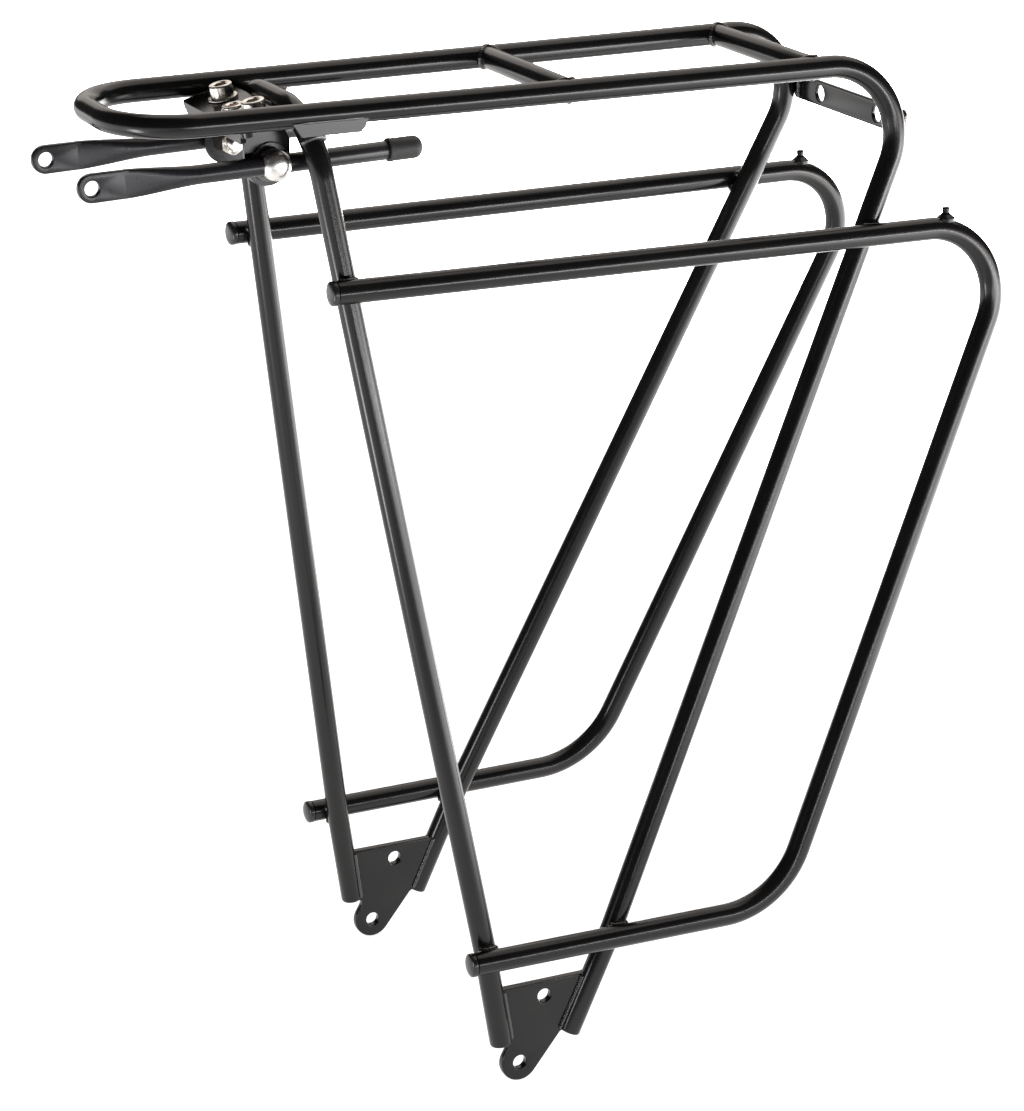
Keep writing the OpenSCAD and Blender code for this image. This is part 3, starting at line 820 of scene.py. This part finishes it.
def stay_stations(rear):
    """Places along the rod with their flatness, from the pressed front to just before the rear end."""
    steps, ease = 16, 0.6
    stations = [(-FLAT_REACH, 1.0)]
    for i in range(1, steps + 1):
        t = i / steps
        flattened = 1 - (ease * t * t * (3 - 2 * t) + (1 - ease) * t)
        stations.append((-FLAT_REACH + (FLAT_REACH - ROUND_REACH) * t, flattened))
    return stations + [(0, 0), (rear - 1, 0)]


def eye_mesh():
    """Flat eye that continues the pressed end of the rod, a hair slimmer so that no faces coincide."""
    hair, overlap, edge_r, steps = 0.02, 2, 0.45, 32
    half = FLAT_H / 2 - hair
    outline = []
    for step in range(steps + 1):
        a = math.radians(90 + 180 * step / steps)
        outline.append(Vector((-EYE_REACH + half * math.cos(a), half * math.sin(a))))
    joint = -FLAT_REACH + overlap
    outline += [Vector((joint, -half + 0.1)), Vector((joint, half - 0.1))]
    eye = plate_bmesh([outline, hole(-EYE_REACH, 0, EYE_HOLE_R)], FLAT_T - 2 * hair, edge_r)
    return to_mesh("eye", placed(eye, axes((1, 0, 0), (0, 0, 1), (0, 1, 0), (0, -FLAT_T / 2 + hair, 0))))


def add_stay(side):
    """Rod that is pressed flat at its front end, where the eye is joined to it."""
    name = SIDE_NAME[side] + "_stay"
    end_gap, end_share = 3.5, 0.8
    rear = CAP_REACH + CAP_L - end_gap
    rings = [[Vector((x, a, b)) for a, b in stay_section(f)] for x, f in stay_stations(rear)]
    rings.append([Vector((rear, p.y * end_share, p.z * end_share)) for p in rings[-1]])
    bm = bmesh.new()
    loft_into(bm, rings)
    eye = eye_mesh()
    bm.from_mesh(eye)
    bpy.data.meshes.remove(eye)
    mesh = moved(to_mesh(name, bm), stay_matrix(side))
    swap(add_piece(name + "_pressed", mesh, "black_stay", name), name)


def add_stay_cap(side):
    """Soft cap with a thin collar at its mouth and a rounded end."""
    barrel_r, mouth_edge = CAP_R - 0.18, 0.35
    profile = [(STAY_R, 0), (CAP_R - mouth_edge, 0), (CAP_R, mouth_edge), (CAP_R, 1.6), (barrel_r, 1.8)]
    profile += [(barrel_r, CAP_L - CAP_EDGE), *rounding(barrel_r, CAP_L, CAP_EDGE, steps=8), (0, CAP_L)]
    turned = Matrix.Translation((CAP_REACH, 0, 0)) @ Matrix.Rotation(math.pi / 2, 4, "Y")
    body = SIDE_NAME[side] + "_stay"
    cap = moved(lathe(body + "_cap", profile), stay_matrix(side) @ turned)
    swap(add_piece(body + "_cap_moulded", cap, "black_rubber", body), body + "_cap")


# ---------------------------------------------------------------- weld beads


def add_bead(name, path, r, seed):
    add_piece("weld_" + name, bead_mesh(name, path, r, seed), "weld_bead", smooth_angle=60)


def add_crossbar_welds(name, x, seed):
    """A bead around each end of a crossbar, where its round section meets the rail's side."""
    bead_r, steps = 1.15, 48
    reach_x, reach_z, short_y = TUBE_R + 0.1, TUBE_R - 0.35, 0.5
    for side in (LEFT, RIGHT):
        path = []
        for i in range(steps + 1):
            a = 2 * math.pi * i / steps
            y = deck_y(x) - TUBE_R * abs(math.cos(a)) - short_y
            path.append(Vector((x + reach_x * math.cos(a), side * y, DECK_H + reach_z * math.sin(a))))
        add_bead(name + "_" + SIDE_NAME[side], path, bead_r, seed + side)


def closest_points(a, b, c, d):
    """The points where the lines a to b and c to d come closest."""
    u, v, w = b - a, d - c, a - c
    uu, uv, vv, uw, vw = u.dot(u), u.dot(v), v.dot(v), u.dot(w), v.dot(w)
    bottom = uu * vv - uv * uv
    return a + u * (uv * vw - vv * uw) / bottom, c + v * (uu * vw - uv * uw) / bottom


def add_crossing_welds(name, rail, leg, seed):
    """A bead above and a bead below a rail where it crosses a leg."""
    half_l, lift, follow, bead_r, steps = 4.4, 0.45, 0.75, 1.6, 12
    on_rail, on_leg = closest_points(*rail, *leg)
    outwards = (on_rail - on_leg).normalized()
    along = (rail[1] - rail[0]).normalized()
    up = (leg[1] - leg[0]).normalized()
    contact = on_leg + outwards * TUBE_R
    for label, reach in (("above", 3.6), ("below", -3.6)):
        path = []
        for i in range(steps + 1):
            t = -half_l + 2 * half_l * i / steps
            sink = TUBE_R - math.sqrt(TUBE_R ** 2 - t * t)
            path.append(contact + up * reach + along * t + outwards * (lift - sink * follow))
        add_bead(name + "_" + label, path, bead_r, seed + int(reach))


def add_foot_weld(name, ends, inwards, y, bead_r, seed):
    """A bead up one face of a foot plate, along the side of a leg whose centre runs between the ends."""
    low, high = ends
    start, end, steps = FOOT_CORNER_Z + 0.2, FOOT_TOP - 0.2, 13
    path = []
    for i in range(steps + 1):
        z = start + (end - start) * i / steps
        centre = low.lerp(high, (z - low.z) / (high.z - low.z))
        off = abs(y) - abs(centre.y)
        x = centre.x + inwards * (math.sqrt(TUBE_R ** 2 - off * off) + 0.3)
        path.append(Vector((x, y, z)))
    add_bead(name, path, bead_r, seed)


def add_foot_welds(side, seed):
    """Beads up both faces of a foot plate where it meets each leg."""
    legs = (("front", front_toe, front_leg, 1), ("rear", rear_toe, rear_leg, -1))
    for leg_name, toe, leg, inwards in legs:
        ends = (toe(side), leg(TOE_H, side))
        for face, y, bead_r in (("outer", FOOT_Y + 0.1, 1.15), ("inner", FOOT_Y - FOOT_T - 0.1, 1.0)):
            name = "%s_foot_%s_%s" % (SIDE_NAME[side], leg_name, face)
            add_foot_weld(name, ends, inwards, side * y, bead_r, seed)
            seed += 1


SHOULDER_DROP = 12.2


def shoulder_arc(path, side):
    """Arc around the outer side of the hoop where it turns in under the gusset."""
    half_turn, steps, clearance = 82, 24, 0.3
    own_half = [i for i, p in enumerate(path) if p.y * side > 0 and 0 < i < len(path) - 1]
    near = min(own_half, key=lambda i: abs(path[i].z - (DECK_H - SHOULDER_DROP)))
    tangent = (path[near + 1] - path[near - 1]).normalized()
    across = (Vector((1, 0, 0)) - tangent * tangent.x).normalized()
    outwards = tangent.cross(across)
    outwards *= 1 if outwards.y * side > 0 else -1
    arc = []
    for i in range(steps + 1):
        a = math.radians(-half_turn + 2 * half_turn * i / steps)
        arc.append(path[near] + (outwards * math.cos(a) + across * math.sin(a)) * (TUBE_R + clearance))
    return arc


def shoulder_bridge(path, underside):
    """Line midway between the hoop and the gusset's underside, and the radius that fills the gap."""
    nearest = min(path, key=lambda p: (p - underside).length)
    reach = (underside - nearest).length
    filler = nearest.lerp(underside, (reach + TUBE_R) / 2 / reach)
    return [filler + Vector((x, 0, 0)) for x in (-4.2, -1.5, 1.5, 4.2)], (reach - TUBE_R) / 2 + 0.5


def add_shoulder_welds(side, seed):
    """Beads around the hoop's shoulder, between it and the gusset, and along the gusset."""
    shoulder_bead_r, gusset_bead_r = 1.25, 0.9
    name = SIDE_NAME[side]
    hoop = bent_path(HOOP_POINTS, HOOP_RADII, 1.0)
    add_bead(name + "_shoulder", shoulder_arc(hoop, side), shoulder_bead_r, seed)
    middle = DECK_HALF_W + GUSSET_OUTWARDS
    outer, inner = middle + GUSSET_W / 2, middle - GUSSET_W / 2
    hoop_x = between(FRONT_FOOT_X, FRONT_TOP_X, DECK_H)
    path, r = shoulder_bridge(hoop, Vector((hoop_x, side * inner, DECK_H - GUSSET_DROP)))
    add_bead(name + "_shoulder_bridge", path, r, seed + 2)
    for label, y, drop in (("outer", outer - 0.7, 2.1), ("inner", inner - 0.2, 5.5)):
        path = [Vector((x, side * y, DECK_H - drop)) for x in (-78, -70, -60, -50)]
        add_bead("%s_gusset_%s" % (name, label), path, gusset_bead_r, seed + 5 + int(drop))


def add_mount_welds():
    """Beads along the mount plate where it meets the platform rails and the hoop."""
    front, length, steps = -95.5, 18, 8
    rail_bead_r, hoop_bead_r = 0.9, 0.8
    for side in (LEFT, RIGHT):
        path = []
        for i in range(steps + 1):
            x = front + length * i / steps
            z = MOUNT_Z + (x - MOUNT_X) * math.tan(math.radians(MOUNT_TILT)) + 0.3
            dip = DECK_H - z
            reach = math.sqrt(max(0.1, TUBE_R ** 2 - dip * dip))
            path.append(Vector((x, side * (deck_y(x) - reach - 0.2), z)))
        add_bead("mount_" + SIDE_NAME[side], path, rail_bead_r, 70 + side)
    hoop_x = between(FRONT_FOOT_X, FRONT_TOP_X, DECK_H)
    path = [Vector((hoop_x - TUBE_R - 0.2, y, DECK_H - 0.4)) for y in (-11, -4, 4, 11)]
    add_bead("mount_hoop", path, hoop_bead_r, 75)


def add_light_welds():
    """Upright beads on both sides of the rear bends, where the light plate stands against them."""
    bead_r, forwards, outwards = 1.25, 0.7, 0.6
    x = light_x() - forwards
    for side in (LEFT, RIGHT):
        y = deck_y(light_x()) + outwards
        for label, off in (("inner", -3.2), ("outer", 3.0)):
            path = [Vector((x, side * (y + off), LIGHT_Z + h)) for h in (-4.6, -1.5, 1.5, 4.6)]
            add_bead("light_%s_%s" % (SIDE_NAME[side], label), path, bead_r, 80 + int(off) + side)


# ---------------------------------------------------------------- the rack's pieces


def add_side(side):
    """The pieces on one side of the rack."""
    add_pannier_rail(side)
    add_peg(side)
    add_foot_plate(side)
    add_eyebolt(side)
    add_pivot_washer(side)
    add_pivot_nut(side)
    add_stay(side)
    add_stay_cap(side)
    top_front, top_corner, low_corner, low_front = loop_points(side)
    for leg_name, leg in (("front", front_leg), ("rear", rear_leg)):
        label = SIDE_NAME[side] + "_" + leg_name
        ends = (leg(TOE_H, side), leg(DECK_H, side))
        add_crossing_welds(label + "_top", (top_front, top_corner), ends, 20 + side)
        add_crossing_welds(label + "_low", (low_front, low_corner), ends, 30 + side)
    add_foot_welds(side, 50 + 5 * side)
    add_shoulder_welds(side, 60 + 5 * side)


add_main_tube()
add_front_hoop()
add_end_plugs()
add_light_plate()
add_bracket_screws()
add_centre_screw()
for bar_name, bar_x in CROSSBARS.items():
    add_crossbar(bar_name, bar_x)
    add_crossbar_welds(bar_name, bar_x, 10 + round(bar_x))
add_side(LEFT)
add_side(RIGHT)
add_mount_welds()
add_light_welds()

# ---------------------------------------------------------------- CAD nodes that keep their shape

EDGE_R, EDGE_SEGMENTS, EDGE_ANGLE = 0.5, 3, 50

slots = {part["node"]: part["material_slot"] for part in frame["record"]["subparts"]}
for node_name, node in frame["nodes"].items():
    node.data.materials.clear()
    node.data.materials.append(FINISH[slots[node_name]])
for node_name in ("mount_plate", "left_bracket", "right_bracket", "left_rail_gusset", "right_rail_gusset"):
    node = frame["nodes"][node_name]
    node.data.polygons.foreach_set("use_smooth", [True] * len(node.data.polygons))
    bevel = node.modifiers.new("rounded_edges", "BEVEL")
    bevel.width = EDGE_R * MM
    bevel.segments = EDGE_SEGMENTS
    bevel.limit_method = "ANGLE"
    bevel.angle_limit = math.radians(EDGE_ANGLE)
    bevel.harden_normals = True

# ---------------------------------------------------------------- floor, light and camera

FLOOR_REACH, FLOOR_GAP = 6.0, 0.0002
PAPER_DARK, PAPER_LIGHT = (0.86, 0.86, 0.86), (0.90, 0.90, 0.90)
WARM, COOL = (1.0, 0.93, 0.87), (0.96, 0.95, 1.0)
WORLD_STRENGTH = 0.06


def faded(add, value, start, full, low, high):
    """Goes smoothly from low at start to high at full."""
    limits = {0: value, 1: start, 2: full, 3: low, 4: high}
    return add("ShaderNodeMapRange", limits, interpolation_type="SMOOTHSTEP").outputs[0]


def floor_material():
    """White paper that glows towards the back and, beyond the camera's view, on both sides."""
    mat, add = node_material("floor_paper")
    place = add("ShaderNodeTexCoord").outputs["Object"]
    mottle = noise_texture(add, place, 3)
    across, depth, _ = add("ShaderNodeSeparateXYZ", {0: place}).outputs
    glow = faded(add, depth, start=-0.9, full=-0.35, low=0.25, high=0.85)
    for start, full, strength in ((0.30, 0.80, 5.5), (-0.55, -0.85, 1.0)):
        side_glow = faded(add, across, start, full, low=0, high=strength)
        glow = add("ShaderNodeMath", {0: glow, 1: side_glow}, operation="ADD").outputs[0]
    shader = add("ShaderNodeBsdfPrincipled", {
        "Base Color": blended(add, mottle, PAPER_DARK, PAPER_LIGHT),
        "Roughness": 0.9,
        "Specular IOR Level": 0.1,
        "Emission Color": (1, 1, 1, 1),
        "Emission Strength": glow,
    })
    add("ShaderNodeOutputMaterial", {0: shader.outputs[0]})
    return mat


def add_floor():
    reach, z = FLOOR_REACH, cad_box[0][2] - FLOOR_GAP
    bm = bmesh.new()
    square = [(-reach, -reach), (reach, -reach), (reach, reach), (-reach, reach)]
    bm.faces.new([bm.verts.new((x, y, z)) for x, y in square])
    mesh = bpy.data.meshes.new("floor")
    bm.to_mesh(mesh)
    bm.free()
    mesh.materials.append(floor_material())
    floor = bpy.data.objects.new("floor", mesh)
    bpy.context.scene.collection.objects.link(floor)


def add_softbox(name, at, towards, size, power, tint):
    data = bpy.data.lights.new(name, "AREA")
    data.shape = "RECTANGLE"
    data.size, data.size_y = size
    data.energy = power
    data.color = tint
    lamp = bpy.data.objects.new(name, data)
    bpy.context.scene.collection.objects.link(lamp)
    lamp.location = at
    lamp.rotation_euler = (Vector(towards) - Vector(at)).to_track_quat("-Z", "Y").to_euler()
    lamp.visible_camera = False


def add_lights():
    """Two large warm lights from above and behind, and low cards that draw highlights on the tubes."""
    add_softbox("overhead", (0.85, 0.6, 2.2), (0.03, 0, 0.22), (2.4, 2.0), 22, WARM)
    add_softbox("back_card", (0.80, 1.7, 1.2), (0, 0, 0.35), (2.4, 1.2), 10, WARM)
    add_softbox("front_strip", (0.45, -1.1, 0.26), (0.05, 0, 0.36), (1.5, 0.07), 6, COOL)
    add_softbox("right_card", (0.95, -0.70, 0.34), (-0.05, 0, 0.34), (0.60, 0.30), 2.8, WARM)
    add_softbox("left_card", (-0.56, -0.12, 0.12), (-0.05, 0, 0.33), (0.11, 0.20), 1.1, COOL)
    world = bpy.data.worlds.new("studio")
    world.use_nodes = True
    background = world.node_tree.nodes["Background"]
    background.inputs["Color"].default_value = (1, 1, 1, 1)
    background.inputs["Strength"].default_value = WORLD_STRENGTH
    bpy.context.scene.world = world


def add_camera():
    at = Vector((-0.5965, -1.3442, 0.7172))
    target = Vector((0.0368, 0, 0.2056))
    roll = math.radians(-0.18)
    data = bpy.data.cameras.new("photo_view")
    data.sensor_width = 36
    data.lens = 113.4
    data.clip_start = 0.05
    camera = bpy.data.objects.new("photo_view", data)
    bpy.context.scene.collection.objects.link(camera)
    camera.location = at
    turned = (target - at).to_track_quat("-Z", "Y").to_matrix() @ Matrix.Rotation(roll, 3, "Z")
    camera.rotation_euler = turned.to_euler()
    bpy.context.scene.camera = camera


add_floor()
add_lights()
add_camera()
bpy.context.scene.view_settings.view_transform = "Standard"

# ---------------------------------------------------------------- finish


def corners(box):
    return [[round(value, 5) for value in corner] for corner in box]
